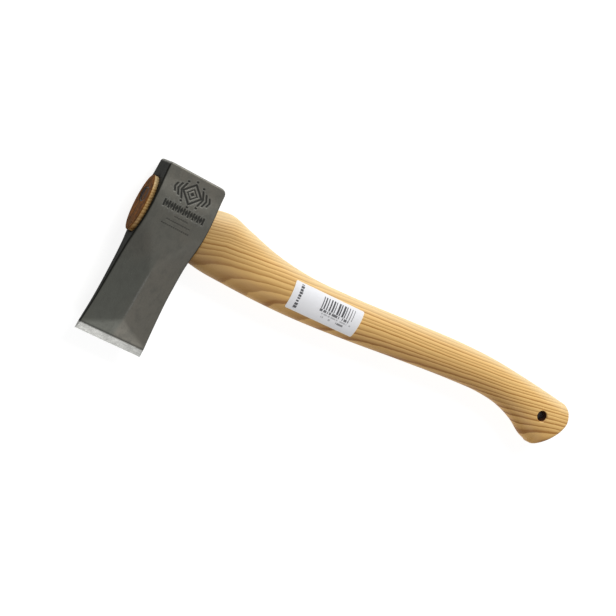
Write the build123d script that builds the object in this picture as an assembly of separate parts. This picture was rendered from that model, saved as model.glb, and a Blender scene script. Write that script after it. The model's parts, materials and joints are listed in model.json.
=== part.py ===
from build123d import *
import os

os.makedirs("parts", exist_ok=True)

# A small splitting hatchet lying on its cheek. All lengths are millimetres.
# Every piece is drawn in the head's own frame: the origin is the centre of the eye, X runs along the handle
# towards the knob, Y towards the poll and Z out of the upper cheek. to_base() then shifts each piece, so that
# the origin is the middle of the underside of the whole hatchet.

# Overall
TENON_END_X = -34.2
KNOB_END_X = 465.8

# Axe head
POLL_Y = 44.5
EDGE_Y = -121.4
HEAD_HALF_WIDTH = 30.0
EDGE_HALF_WIDTH = 34.2
BELOW_EDGE_Y = -126.4
FLARE_TOP_SIDE = [(-HEAD_HALF_WIDTH, -20.0), (-30.8, -62.0), (-32.0, -92.0), (-35.1, BELOW_EDGE_Y)]
FLARE_HANDLE_SIDE = [(HEAD_HALF_WIDTH, -62.0), (31.1, -92.0), (33.4, BELOW_EDGE_Y)]
POLL_TOP_CORNER = 2.5
POLL_HANDLE_CORNER = 5.5
POLL_EDGE_ROUND = 1.6
EYE_HALF_THICKNESS = 16.9
HIP_START_Y = -97.0
HIP_HALF_THICKNESS = 6.3
BEVEL_START_Y = -114.0
BEVEL_HALF_THICKNESS = 1.9
CUTTING_EDGE_HALF = 0.1
EDGE_SLANT = 0.9  # degrees by which hand grinding leaves the edge out of square

# Cheek sections from the poll to past the edge. Each row is a station along Y, the half thickness on the
# middle line, the half thickness at CHEEK_SIDE_X, and half the width of the flat crown between the sides.
# The crown narrows below the eye until only the central ridge is left of it.
CHEEK_SIDE_X = 34.0
CHEEKS = [
    (POLL_Y + 1, 12.6, 12.4, 24.0),
    (32.0, 13.6, 13.4, 24.0),
    (18.0, 15.9, 15.6, 24.0),
    (6.0, EYE_HALF_THICKNESS, 16.4, 23.0),
    (-6.0, 16.3, 14.9, 21.5),
    (-15.0, 15.4, 11.8, 18.0),
    (-24.0, 14.3, 8.0, 13.5),
    (-35.0, 13.0, 5.3, 7.0),
    (-48.0, 11.6, 4.2, 0.6),
    (-72.0, 9.0, 3.1, 0.6),
    (EDGE_Y - 3, 3.5, 2.0, 0.6),
]

# Eye and tenon: an oval that widens towards the top of the head, where the wedges spread it.
# Half length and half thickness at the handle side, and at the tenon's end, which sits a little nearer the poll.
EYE_BOTTOM = (25.0, 11.6)
EYE_TOP = (26.5, 12.4)
EYE_TOP_Y = 1.2

# Handle sections from the shoulder to past the knob: upper point, lower point, half thickness.
HANDLE = [
    ((HEAD_HALF_WIDTH, 25.4), (HEAD_HALF_WIDTH, -26.8), 13.6),
    ((49.4, 28.6), (46.7, -28.8), 14.4),
    ((72.3, 23.9), (69.6, -29.5), 14.0),
    ((106.2, 16.5), (103.7, -29.9), 13.2),
    ((145.2, 12.9), (146.7, -28.7), 12.6),
    ((196.2, 14.6), (203.7, -24.1), 12.3),
    ((262.3, 20.1), (269.8, -17.0), 12.3),
    ((324.4, 24.9), (327.9, -11.4), 12.5),
    ((364.4, 25.6), (361.9, -9.6), 12.7),
    ((397.3, 24.0), (387.9, -11.8), 13.1),
    ((426.3, 21.9), (411.2, -18.8), 13.7),
    ((444.3, 20.3), (427.5, -27.0), 14.0),
    ((460.3, 18.6), (442.9, -30.2), 13.9),
    ((480.3, 16.1), (461.7, -31.3), 13.6),
]
KNOB_HALF_THICKNESS = 14.0
KNOB_END = [(452.4, 27.5), (462.5, 14.7), (KNOB_END_X, 3.4), (459.1, -12.2), (447.8, -25.1), (433.2, -35.3)]
KNOB_EDGE_ROUND = 4.0

# Hang hole through the knob, countersunk a little on both sides
HANG_HOLE = (432.7, -1.6)
HANG_HOLE_R = 5.0
HANG_HOLE_CHAMFER = 0.8

# Eye wedge: driven along the long axis of the oval
EYE_WEDGE_TIP_X = 12.0
EYE_WEDGE_END_HALF = 2.1
EYE_WEDGE_TIP_HALF = 0.4

# Ring wedge: a short tube, bevelled inside to a sharp rim and driven just below the end grain
RING_CENTRE_Y = 8.8
RING_OUTER_R = 7.2
RING_WALL = 1.3
RING_DEPTH = 16.0
RING_BEVEL = 2.6
RING_RIM = 0.2
RING_SINK = 0.5

# Paper label on the upper side of the handle: corners in order round the sheet
LABEL_CORNERS = [(130.9, 4.5), (132.4, -22.0), (207.9, -19.0), (208.2, 7.1)]
LABEL_CORNER_R = 1.5
LABEL_THICKNESS = 0.2

REACH = 60.0  # half size of cutting blocks, more than any half size of the hatchet across its handle
BASE_X = (TENON_END_X + KNOB_END_X) / 2
BASE_Y = (POLL_Y + EDGE_Y) / 2


def to_base(piece):
    return Pos(-BASE_X, -BASE_Y, EYE_HALF_THICKNESS) * piece


def across_x(x):
    """Sketch plane square to X: its own x is Y and its own y is Z."""
    return Plane(origin=(x, 0, 0), x_dir=(0, 1, 0), z_dir=(1, 0, 0))


def across_y(y):
    """Sketch plane square to Y: its own x is X and its own y is Z."""
    return Plane(origin=(0, y, 0), x_dir=(1, 0, 0), z_dir=(0, -1, 0))


def mirrored(upper):
    """A closed outline from its upper half, mirrored in its own x axis."""
    lower = [(x, -y) for x, y in reversed(upper)]
    return make_face(Polyline(*upper, *lower, close=True))


def eye_oval():
    """The tapered oval plug that fills the eye, from the shoulder to the tenon's end."""
    bottom = across_x(HEAD_HALF_WIDTH) * Ellipse(*EYE_BOTTOM)
    top = across_x(TENON_END_X) * Pos(EYE_TOP_Y, 0) * Ellipse(*EYE_TOP)
    return loft([bottom, top])


# Axe head


def cheek_section(y, middle, side, crown):
    upper = [(-CHEEK_SIDE_X, side), (-crown, middle), (crown, middle), (CHEEK_SIDE_X, side)]
    return across_y(y) * mirrored(upper)


def head_outline():
    """The head seen square to the cheek: straight sides that flare to the edge, and a rounded poll."""
    poll = Line((-HEAD_HALF_WIDTH, POLL_Y), (HEAD_HALF_WIDTH, POLL_Y))
    right_side = Line((HEAD_HALF_WIDTH, POLL_Y), FLARE_HANDLE_SIDE[0])
    right_flare = Spline(*FLARE_HANDLE_SIDE, tangents=[(0, -1), (0.1, -1)])
    bottom = Line(FLARE_HANDLE_SIDE[-1], FLARE_TOP_SIDE[-1])
    left_flare = Spline(*FLARE_TOP_SIDE, tangents=[(0, -1), (-0.1, -1)])
    left_side = Line(FLARE_TOP_SIDE[0], (-HEAD_HALF_WIDTH, POLL_Y))
    face = make_face([poll, right_side, right_flare, bottom, left_flare, left_side])
    block = extrude(face, REACH, both=True)
    handle_corner = block.edges().filter_by(Axis.Z).group_by(Axis.Y)[-1].sort_by(Axis.X)[-1]
    block = fillet(handle_corner, POLL_HANDLE_CORNER)
    top_corner = block.edges().filter_by(Axis.Z).group_by(Axis.Y)[-1].sort_by(Axis.X)[0]
    return fillet(top_corner, POLL_TOP_CORNER)


def hip_and_bevel():
    """Side view of the lower end: the hip plane on each cheek, then the ground bevel down to the edge."""
    hip_slope = (HIP_HALF_THICKNESS - BEVEL_HALF_THICKNESS) / (HIP_START_Y - BEVEL_START_Y)
    hip_top_y = BEVEL_START_Y + (REACH - BEVEL_HALF_THICKNESS) / hip_slope
    upper = [(EDGE_Y, CUTTING_EDGE_HALF), (BEVEL_START_Y, BEVEL_HALF_THICKNESS), (hip_top_y, REACH)]
    block = extrude(across_x(0) * mirrored(upper), REACH, both=True)
    slant_about = Axis((-EDGE_HALF_WIDTH, EDGE_Y, 0), (0, 0, 1))
    return block.rotate(slant_about, EDGE_SLANT)


def make_axe_head():
    cheeks = loft([cheek_section(*row) for row in CHEEKS], ruled=True)
    blank = cheeks & head_outline() & hip_and_bevel()
    poll_face = blank.faces().sort_by(Axis.Y)[-1]
    return fillet(poll_face.edges(), POLL_EDGE_ROUND) - eye_oval()


# Wedges


def kerf():
    """The eye wedge seen from its end, run across the whole tenon."""
    upper = [(TENON_END_X, EYE_WEDGE_END_HALF), (EYE_WEDGE_TIP_X, EYE_WEDGE_TIP_HALF)]
    return extrude(Plane.XZ * mirrored(upper), REACH, both=True)


def ring(outer_end_x):
    """Round tube along X from its outer end down to its sharp rim."""
    rim_x = TENON_END_X + RING_DEPTH
    inner_r = RING_OUTER_R - RING_WALL
    outline = Polyline(
        (outer_end_x, inner_r),
        (outer_end_x, RING_OUTER_R),
        (rim_x, RING_OUTER_R),
        (rim_x, RING_OUTER_R - RING_RIM),
        (rim_x - RING_BEVEL, inner_r),
        close=True,
    )
    return Pos(0, RING_CENTRE_Y, 0) * revolve(make_face(outline), Axis.X)


def ring_groove():
    """The ring's own space, open at the end grain."""
    return ring(TENON_END_X - RING_SINK)


# Handle


def handle_section(upper_point, lower_point, half_thickness, extra):
    """Oval across the handle between the upper and the lower point of its side view."""
    upper = Vector(*upper_point, 0)
    lower = Vector(*lower_point, 0)
    rise = upper - lower
    plane = Plane(origin=(upper + lower) * 0.5, x_dir=rise, z_dir=rise.cross(Vector(0, 0, 1)))
    return plane * Ellipse(rise.length / 2 + extra, half_thickness + extra)


def shaft(extra=0.0):
    """The handle's shaped length from the shoulder to past the knob, swelled by extra all round."""
    return loft([handle_section(*row, extra) for row in HANDLE])


def knob_cut():
    """Everything on the head's side of the knob's slanted, rounded end."""
    end = Spline(*KNOB_END)
    frame = Polyline(KNOB_END[-1], (0, -REACH), (0, REACH), KNOB_END[0])
    return extrude(make_face([end, frame]), REACH, both=True)


def hang_hole():
    hole = Cylinder(HANG_HOLE_R, 2 * REACH)
    sink = Cone(HANG_HOLE_R, HANG_HOLE_R + 2 * HANG_HOLE_CHAMFER, 2 * HANG_HOLE_CHAMFER)
    upper_sink = Pos(0, 0, KNOB_HALF_THICKNESS) * sink
    return Pos(*HANG_HOLE, 0) * (hole + upper_sink + mirror(upper_sink, about=Plane.XY))


def make_handle():
    body = (shaft() & knob_cut()) - hang_hole()
    end_face = body.faces().sort_by(Axis.X)[-1]
    body = fillet(end_face.edges(), KNOB_EDGE_ROUND)
    return body + eye_oval() - kerf() - ring_groove()


# Label


def make_label():
    sheet = make_face(Polyline(*LABEL_CORNERS, close=True))
    sheet = fillet(sheet.vertices(), LABEL_CORNER_R)
    return extrude(sheet, REACH) & (shaft(LABEL_THICKNESS) - shaft())


export_step(to_base(make_axe_head()), "parts/axe_head.step")
export_step(to_base(make_handle()), "parts/handle.step")
export_step(to_base((kerf() & eye_oval()) - ring_groove()), "parts/eye_wedge.step")
export_step(to_base(ring(TENON_END_X + RING_SINK)), "parts/ring_wedge.step")
export_step(to_base(make_label()), "parts/label.step")
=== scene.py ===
import json
import math

import bmesh
import bpy
import numpy as np
from bpy.props import FloatProperty, FloatVectorProperty, PointerProperty
from mathutils import Matrix, Vector
from mathutils.bvhtree import BVHTree


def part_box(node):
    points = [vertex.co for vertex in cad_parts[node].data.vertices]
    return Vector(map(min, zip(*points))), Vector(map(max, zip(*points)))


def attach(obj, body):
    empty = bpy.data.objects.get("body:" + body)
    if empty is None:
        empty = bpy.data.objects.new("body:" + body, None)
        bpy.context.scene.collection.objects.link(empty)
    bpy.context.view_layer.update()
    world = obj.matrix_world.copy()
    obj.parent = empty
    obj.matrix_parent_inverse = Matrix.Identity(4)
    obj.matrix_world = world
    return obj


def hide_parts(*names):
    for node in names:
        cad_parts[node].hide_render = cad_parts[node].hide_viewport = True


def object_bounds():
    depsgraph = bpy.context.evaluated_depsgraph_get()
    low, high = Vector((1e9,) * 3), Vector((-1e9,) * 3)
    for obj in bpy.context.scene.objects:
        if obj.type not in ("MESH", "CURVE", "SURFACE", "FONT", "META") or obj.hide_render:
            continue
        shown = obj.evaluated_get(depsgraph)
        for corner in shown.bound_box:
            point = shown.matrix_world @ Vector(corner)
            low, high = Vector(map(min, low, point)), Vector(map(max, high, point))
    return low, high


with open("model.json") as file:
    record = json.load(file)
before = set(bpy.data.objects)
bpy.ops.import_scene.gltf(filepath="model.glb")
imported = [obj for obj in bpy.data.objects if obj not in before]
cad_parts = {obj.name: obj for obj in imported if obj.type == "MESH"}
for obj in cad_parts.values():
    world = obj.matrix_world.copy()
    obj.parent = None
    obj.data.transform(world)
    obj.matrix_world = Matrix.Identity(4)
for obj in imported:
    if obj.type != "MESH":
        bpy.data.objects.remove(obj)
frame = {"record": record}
CAD_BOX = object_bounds()

bl_info = {
    "name": "Splitting hatchet",
    "version": (1, 0, 0),
    "blender": (4, 5, 0),
    "location": "View3D > Sidebar > Hatchet",
    "description": "Builds a small splitting hatchet: forged head, ash handle, wedges and paper label",
    "category": "Add Mesh",
}

# Every shape is drawn in millimetres in the head's own frame: the origin is the centre of the eye, X runs
# along the handle towards the knob, Y towards the poll and Z out of the upper cheek.
MM = 0.001
HEAD_LOW, HEAD_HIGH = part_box("axe_head")
HANDLE_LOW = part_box("handle")[0]
TENON_END_X = -34.2
POLL_Y = 44.5
EYE = Vector((
    HANDLE_LOW.x - TENON_END_X * MM,
    HEAD_HIGH.y - POLL_Y * MM,
    (HEAD_LOW.z + HEAD_HIGH.z) / 2,
))

# Axe head
HALF_WIDTH = 30.0
EDGE_Y = -121.4
EDGE_HALF_WIDTH = 34.2
# Station along Y and half width of the outline, which flares to the edge
FLARE_TOP_SIDE = ((-10.0, 30.0), (-20.0, 30.0), (-62.0, 30.8), (-92.0, 32.0), (-126.4, 35.1))
FLARE_HANDLE_SIDE = ((-50.0, 30.0), (-62.0, 30.0), (-92.0, 31.1), (-126.4, 33.4))
EDGE_SLOPE = math.tan(math.radians(0.9))
HIP_LENGTH = 17.0
HIP_HALF_THICKNESS = 6.3
BEVEL_HALF_THICKNESS = 1.9
CUTTING_EDGE_HALF = 0.12
POLL_TOP_CORNER = 2.8
POLL_HANDLE_CORNER = 5.5
CHEEK_SIDE_X = 34.0
# Station along Y, half thickness in the middle and at the sides, half width of the flat crown
CHEEKS = np.array([
    (-135.0, 2.9, 1.7, 0.6),
    (-124.4, 3.5, 2.0, 0.6),
    (-72.0, 9.0, 3.1, 0.6),
    (-48.0, 11.6, 4.2, 0.6),
    (-35.0, 13.0, 5.3, 7.0),
    (-24.0, 14.3, 8.0, 13.5),
    (-15.0, 15.4, 11.8, 18.0),
    (-6.0, 16.3, 14.9, 21.5),
    (6.0, 16.9, 16.4, 23.0),
    (18.0, 15.9, 15.6, 24.0),
    (32.0, 13.6, 13.4, 24.0),
    (45.5, 12.6, 12.4, 24.0),
])

# Stamped mark: its middle, the start and half height of each chevron, the band, and the faint rows of dashes
MARK_PLACE = (0.7, 27.0)
CHEVRONS = ((11.4, 7.4), (14.9, 5.8), (18.4, 4.2))
BAND_Y = 10.4
BAND_END = 20.4
BAND_STEP = 5.1
FAINT_ROWS = ((3.2, -5.4, 7.4), (-1.3, -11.2, 12.9), (-5.9, -14.2, 14.6))
FAINT_STEP = 2.1

# Eye and tenon ovals: half length and half thickness at the handle side and at the tenon's end
EYE_BOTTOM = (25.0, 11.6)
EYE_TOP = (26.5, 12.4)
EYE_TOP_Y = 1.2

# Handle sections from the shoulder to past the knob: upper point, lower point, half thickness
HANDLE = np.array([
    (30.0, 25.4, 30.0, -26.8, 13.6),
    (49.4, 28.6, 46.7, -28.8, 14.4),
    (72.3, 23.9, 69.6, -29.5, 14.0),
    (106.2, 16.5, 103.7, -29.9, 13.2),
    (145.2, 12.9, 146.7, -28.7, 12.6),
    (196.2, 14.6, 203.7, -24.1, 12.3),
    (262.3, 20.1, 269.8, -17.0, 12.3),
    (324.4, 24.9, 327.9, -11.4, 12.5),
    (364.4, 25.6, 361.9, -9.6, 12.7),
    (397.3, 24.0, 387.9, -11.8, 13.1),
    (426.3, 21.9, 411.2, -18.8, 13.7),
    (444.3, 20.3, 427.5, -27.0, 14.0),
    (460.3, 18.6, 442.9, -30.2, 13.9),
    (480.3, 16.1, 461.7, -31.3, 13.6),
])
KNOB_START = 11.5
KNOB_END = np.array([
    (452.3, 19.5), (457.6, 18.2), (461.8, 14.6), (464.3, 9.2), (465.2, 3.4), (463.3, -3.9),
    (458.8, -12.2), (453.8, -19.0), (448.2, -24.9), (443.6, -28.6), (439.6, -29.9), (435.3, -29.0),
])
KNOB_ROUND = 4.5
HANG_HOLE = next(mount for mount in frame["record"]["mounts"] if mount["name"] == "hang_hole")
HANG_HOLE_PLACE = (Vector(HANG_HOLE["pos_m"]) - EYE) / MM
HANG_HOLE_R = HANG_HOLE["dims"]["r_mm"]

# Wedges
WEDGE_TIP_X = 12.0
WEDGE_END_HALF = 2.1
WEDGE_TIP_HALF = 0.4
RING_Y = 8.8
RING_OUTER_R = 7.2
RING_WALL = 1.3
RING_DEPTH = 16.0
RING_SINK = 0.5

# Label corners in order round the sheet, starting at its upper left
LABEL = ((130.9, 4.5), (132.4, -22.0), (207.9, -19.0), (208.2, 7.1))
LABEL_CORNER_R = 1.5
LABEL_LENGTH = 76.5
LABEL_WIDTH = 26.0
# Rows of dashes: width of a dash, seed, share left out, place across the sheet, place along it, ink
PRINT_ROWS = (
    (1.05, 11.3, (0.24, 0.28), (13.8, 15.9), (31.0, 66.0), 0.9),
    (0.8, 5.1, (0.3, 0.35), (17.0, 18.2), (36.0, 69.0), 0.45),
    (0.7, 9.4, (0.15, 0.2), (19.7, 21.2), (37.0, 39.6), 0.48),
    (0.7, 9.4, (0.15, 0.2), (19.7, 21.2), (45.4, 47.4), 0.48),
    (0.7, 9.4, (0.15, 0.2), (19.7, 21.2), (54.0, 62.2), 0.8),
)

# Stage: each lamp's direction from the hatchet, side, power and tint
LAMP_DISTANCE = 1.7
LAMPS = {
    "key": ((0.1, 0.85, 0.6), 1.0, 24.5, (1.0, 0.99, 0.96)),
    "rim": ((0, 1.0, 0.22), 0.8, 7, (0.78, 0.88, 1.0)),
    "front": ((0.33, -0.6, 0.73), 0.5, 6, (1.0, 1.0, 1.0)),
}
SKY_STRENGTH = 0.27
FLOOR_GLOW = 0.86
CAMERA_TURNS = (-88.535, 62.483, 115.91)  # azimuth, elevation and roll in degrees
CAMERA_TARGET = Vector((-0.05626, 0.02511, 0.0169))
CAMERA_DISTANCE = 1.90975


def colour(name, description, default):
    return FloatVectorProperty(
        name=name, description=description, default=default, subtype="COLOR", size=3, min=0, max=1
    )


def length(name, description, default):
    return FloatProperty(
        name=name, description=description, default=default * MM, subtype="DISTANCE", unit="LENGTH",
        precision=5
    )


class HatchetHead(bpy.types.PropertyGroup):
    """Sizes and colours of the forged head"""

    edge_round: length("Edge rounding", "Radius on the long edges of the cheeks", 1.7)
    poll_round: length("Poll rounding", "Radius round the poll face", 1.6)
    bevel_width: length("Bevel width", "Width of the ground bevel at the cutting edge", 6.7)
    mark_depth: length("Mark depth", "Depth of the stamped mark in the upper cheek", 0.4)
    scale: colour("Forge scale", "Main colour of the forged surfaces", (0.128, 0.125, 0.107))
    scale_dark: colour("Dark scale", "Colour of the darker patches", (0.088, 0.088, 0.077))
    scale_brown: colour("Brown scale", "Colour of the warmer patches", (0.141, 0.132, 0.111))
    # painted shade: darker, greener colour of the blade's left facet
    left_facet_shade: colour("Green scale", "Colour of the cooler side of the blade", (0.106, 0.112, 0.097))
    # painted shade: near black colour for the narrow sides and for the line above the bevel
    painted_shade: colour("Side scale", "Colour of the scale on the narrow sides", (0.012, 0.0125, 0.0105))
    # painted shadow: colour of the dark band round the eye, where the tenon meets the head
    soot: colour("Soot", "Colour of the grime round the eye", (0.008, 0.007, 0.006))
    ground: colour("Ground steel", "Colour of the bevel", (0.33, 0.33, 0.315))


class HatchetHandle(bpy.types.PropertyGroup):
    """Sizes and colours of the ash handle"""

    ring_spacing: length("Ring spacing", "Distance between growth rings", 1.9)
    shoulder_round: length("Shoulder rounding", "Radius on the handle where it meets the head", 1.2)
    latewood: colour("Latewood", "Colour of the dense pale wood", (0.75, 0.485, 0.185))
    earlywood: colour("Earlywood", "Colour of the porous line of each ring", (0.4, 0.195, 0.05))
    # painted sheen: paler colour given to the upper edge for the light it catches
    upper_edge_sheen: colour("Worn edge", "Colour of the upper edge, where it is rubbed pale", (0.67, 0.53, 0.31))
    # painted shade: tint that darkens the lower side
    belly_shade: colour("Belly tint", "Tint of the lower side", (0.78, 0.7, 0.6))
    # painted shade: tint that darkens the neck close behind the head
    neck_shade: colour("Neck tint", "Tint of the neck behind the head", (0.64, 0.64, 0.66))
    ring_core: colour("Ring core", "Colour of the wood inside the ring wedge", (0.06, 0.043, 0.04))
    # painted shade: near black colour for the walls of the hang hole
    bore: colour("Bore", "Colour inside the hang hole", (0.07, 0.022, 0.008))
    end_grain: colour("End grain", "Colour of the oiled end of the tenon", (0.16, 0.053, 0.003))


class HatchetWedges(bpy.types.PropertyGroup):
    """Colours of the wedges"""

    wood: colour("Wedge wood", "Colour of the wedge's end", (0.11, 0.042, 0.006))
    steel: colour("Wedge steel", "Colour of the ring", (0.07, 0.06, 0.056))


class HatchetLabel(bpy.types.PropertyGroup):
    """Sizes and colours of the paper label"""

    thickness: length("Thickness", "Thickness of the paper and its glue", 0.2)
    paper: colour("Paper", "Colour of the sheet", (0.8, 0.8, 0.83))
    paper_edge: colour("Paper edge", "Colour of the sheet along its edges", (0.87, 0.8, 0.7))
    ink: colour("Ink", "Colour of the printed bars", (0.03, 0.03, 0.035))


class HatchetStage(bpy.types.PropertyGroup):
    """Sizes and colours of the studio"""

    floor: colour("Floor", "Colour of the floor", (0.3, 0.3, 0.3))
    floor_side: length("Floor side", "Length of the floor's sides", 9000.0)
    lens: FloatProperty(name="Lens", description="Focal length of the camera in millimetres", default=122.73)


# Mesh helpers


def placed(points):
    """Points of the head's own frame, in the row frame in metres."""
    return np.asarray(points, float) * MM + np.array(EYE)


def skin(rings):
    """Points and quads of a tube through rings with equal numbers of points."""
    count, size = rings.shape[:2]
    index = np.arange(count * size).reshape(count, size)
    this, following = index[:-1], index[1:]
    quads = np.stack([this, np.roll(this, -1, 1), np.roll(following, -1, 1), following], axis=-1)
    return rings.reshape(-1, 3), quads.reshape(-1, 4).tolist()


def solid(name, points, faces):
    """A closed mesh object with its faces turned outwards and repeated points joined."""
    mesh = bpy.data.meshes.new(name)
    mesh.from_pydata(placed(points).tolist(), [], faces)
    bm = bmesh.new()
    bm.from_mesh(mesh)
    bmesh.ops.remove_doubles(bm, verts=bm.verts, dist=2e-7)
    bmesh.ops.recalc_face_normals(bm, faces=bm.faces)
    bm.to_mesh(mesh)
    bm.free()
    piece = bpy.data.objects.new(name, mesh)
    bpy.context.scene.collection.objects.link(piece)
    return piece


def tube(name, rings, capped=True):
    """A solid through rings of points, closed by a flat face at each end unless its rings close it."""
    points, faces = skin(rings)
    last, size = len(points), rings.shape[1]
    if capped:
        faces += [list(range(size))[::-1], list(range(last - size, last))]
    return solid(name, points, faces)


def lathe(name, profile, centre, axis, count=96, capped=True):
    """A turned solid: profile holds (radius, distance along the axis) from one end to the other."""
    angles = np.linspace(0, 2 * math.pi, count, endpoint=False)
    rings = []
    for radius, along in profile:
        ring = np.zeros((count, 3))
        ring[:, axis] = along
        ring[:, (axis + 1) % 3] = radius * np.cos(angles)
        ring[:, (axis + 2) % 3] = radius * np.sin(angles)
        rings.append(ring + np.array(centre))
    return tube(name, np.array(rings), capped)


def cut(piece, cutter):
    """Takes the cutter out of the piece and deletes the cutter."""
    modifier = piece.modifiers.new("cut", "BOOLEAN")
    modifier.operation = "DIFFERENCE"
    modifier.solver = "EXACT"
    modifier.object = cutter
    graph = bpy.context.evaluated_depsgraph_get()
    mesh = bpy.data.meshes.new_from_object(piece.evaluated_get(graph))
    if len(mesh.polygons) <= len(piece.data.polygons) // 2:
        raise RuntimeError(f"cutting {piece.name} left too little of it")
    piece.modifiers.clear()
    piece.data = mesh
    mesh.name = piece.name
    bpy.data.objects.remove(cutter)


def finished(piece, finish, node, sharp=32):
    """Smooth shading, material, and the CAD node that the piece stands for."""
    mesh = piece.data
    mesh.shade_smooth()
    mesh.set_sharp_from_angle(angle=math.radians(sharp))
    mesh.materials.clear()
    mesh.materials.append(finish)
    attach(piece, "root")
    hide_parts(node)


def paint(mesh, **layers):
    """Numbers on each point of the mesh, for the material to read."""
    for name, values in layers.items():
        layer = mesh.attributes.new(name, "FLOAT", "POINT")
        layer.data.foreach_set("value", np.asarray(values, np.float32))


def own_points(mesh):
    """The mesh's points in the head's own frame, in millimetres."""
    points = np.empty(len(mesh.vertices) * 3, np.float32)
    mesh.vertices.foreach_get("co", points)
    return (points.reshape(-1, 3) - np.array(EYE)) / MM


def smooth_through(stations, values, at):
    """Values on a smooth curve through the ones given at the stations."""
    stations = np.asarray(stations, float)
    values = np.asarray(values, float).reshape(len(stations), -1)
    at = np.asarray(at, float)
    slopes = np.gradient(values, stations, axis=0)
    i = np.clip(np.searchsorted(stations, at, side="right") - 1, 0, len(stations) - 2)
    span = (stations[i + 1] - stations[i])[:, None]
    t = ((at - stations[i])[:, None]) / span
    start = (2 * t**3 - 3 * t**2 + 1) * values[i] + (t**3 - 2 * t**2 + t) * span * slopes[i]
    end = (3 * t**2 - 2 * t**3) * values[i + 1] + (t**3 - t**2) * span * slopes[i + 1]
    return start + end


def step(low, high, value):
    """0 below low, 1 above high, with a smooth change between them."""
    t = np.clip((value - low) / (high - low), 0, 1)
    return t * t * (3 - 2 * t)


# Material helpers


class Value:
    """A socket that takes part in Python arithmetic. Each operation adds a Math node."""

    def __init__(self, finish, socket):
        self.finish = finish
        self.socket = socket

    def math(self, operation, *values):
        return self.finish.node("ShaderNodeMath", {"operation": operation}, dict(enumerate(values)))

    def __add__(self, other):
        return self.math("ADD", self, other)

    def __sub__(self, other):
        return self.math("SUBTRACT", self, other)

    def __rsub__(self, other):
        return self.math("SUBTRACT", other, self)

    def __mul__(self, other):
        return self.math("MULTIPLY", self, other)

    def __truediv__(self, other):
        return self.math("DIVIDE", self, other)

    __radd__ = __add__
    __rmul__ = __mul__

    def whole(self):
        return self.math("FLOOR", self)

    def part(self):
        return self.math("FRACT", self)

    def most(self, other):
        return self.math("MAXIMUM", self, other)

    def rise(self, low, high):
        """0 below low, 1 above high, with a smooth change between them."""
        settings = {"interpolation_type": "SMOOTHSTEP"}
        sockets = {"Value": self, "From Min": low, "From Max": high}
        return self.finish.node("ShaderNodeMapRange", settings, sockets)

    def band(self, low, high, edge):
        """1 between low and high and 0 outside, with soft edges."""
        return self.rise(low - edge, low) * (1 - self.rise(high, high + edge))


class Finish:
    """A material with one Principled surface, and what wires it."""

    def __init__(self, name, **constants):
        self.material = bpy.data.materials.new(name)
        self.material.use_nodes = True
        self.tree = self.material.node_tree
        self.surface = self.tree.nodes["Principled BSDF"]
        for socket, value in constants.items():
            self.wear(socket.replace("_", " "), value)

    def node(self, kind, settings, sockets, output=0):
        made = self.tree.nodes.new(kind)
        for name, value in settings.items():
            setattr(made, name, value)
        for key, value in sockets.items():
            self.feed(made.inputs[key], value)
        return Value(self, made.outputs[output])

    def feed(self, socket, value):
        if isinstance(value, Value):
            self.tree.links.new(value.socket, socket)
        else:
            socket.default_value = value

    def wear(self, socket, value):
        """Gives one of the surface's own sockets its value."""
        self.feed(self.surface.inputs[socket], value)

    def vector(self, operation, first, second=(0, 0, 0), output=0):
        return self.node("ShaderNodeVectorMath", {"operation": operation}, {0: first, 1: second}, output)

    def place(self):
        """Position in the head's own frame, in millimetres."""
        where = self.node("ShaderNodeTexCoord", {}, {}, "Object")
        moved = self.vector("SUBTRACT", where, EYE)
        return self.vector("MULTIPLY", moved, (1 / MM,) * 3)

    def axes(self, place):
        split = self.node("ShaderNodeSeparateXYZ", {}, {0: place})
        return [Value(self, socket) for socket in split.socket.node.outputs]

    def joined(self, x, y, z):
        return self.node("ShaderNodeCombineXYZ", {}, {0: x, 1: y, 2: z})

    def stretched(self, place, sizes):
        return self.vector("MULTIPLY", place, tuple(1 / size for size in sizes))

    def noise(self, place, sizes, detail=2.0, roughness=0.5, twist=0.0):
        """Noise from 0 to 1 in patches of about these sizes in millimetres along X, Y and Z."""
        sockets = {"Vector": self.stretched(place, sizes), "Scale": 1.0, "Detail": detail}
        return self.node("ShaderNodeTexNoise", {}, {**sockets, "Roughness": roughness, "Distortion": twist})

    def cells(self, place, sizes):
        """Distance from the middle of each cell, with cells of about these sizes in millimetres."""
        sockets = {"Vector": self.stretched(place, sizes), "Scale": 1.0}
        return self.node("ShaderNodeTexVoronoi", {}, sockets, "Distance")

    def chance(self, number):
        """A fixed random number from 0 to 1 for each number."""
        return self.node("ShaderNodeTexWhiteNoise", {"noise_dimensions": "1D"}, {"W": number})

    def painted(self, name, output="Fac"):
        return self.node("ShaderNodeAttribute", {"attribute_name": name}, {}, output)

    def mix(self, share, first, second, blend="MIX"):
        settings = {"data_type": "RGBA", "blend_type": blend}
        return self.node("ShaderNodeMix", settings, {0: share, 6: first, 7: second}, 2)

    def bump(self, height, depth, normal=None):
        """Small relief: height from 0 to 1 stands for depth in millimetres."""
        sockets = {"Strength": 1.0, "Distance": depth * MM, "Height": height}
        if normal:
            sockets["Normal"] = normal
        return self.node("ShaderNodeBump", {}, sockets)


def rgba(colour_property, factor=1.0):
    return tuple(channel * factor for channel in colour_property) + (1.0,)


# Axe head


def cheek_measure(column, y):
    """One column of the cheek table at each y, with its corners eased."""
    fine = np.arange(-135.0, 60.0, 0.25)
    straight = np.interp(fine, CHEEKS[:, 0], CHEEKS[:, column])
    kernel = np.hanning(41)
    eased = np.convolve(np.pad(straight, 20, mode="edge"), kernel / kernel.sum(), mode="valid")
    return np.interp(y, fine, eased)


def edge_y(x):
    """The cutting edge is ground a little out of square."""
    return EDGE_Y + (x + EDGE_HALF_WIDTH) * EDGE_SLOPE


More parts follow.
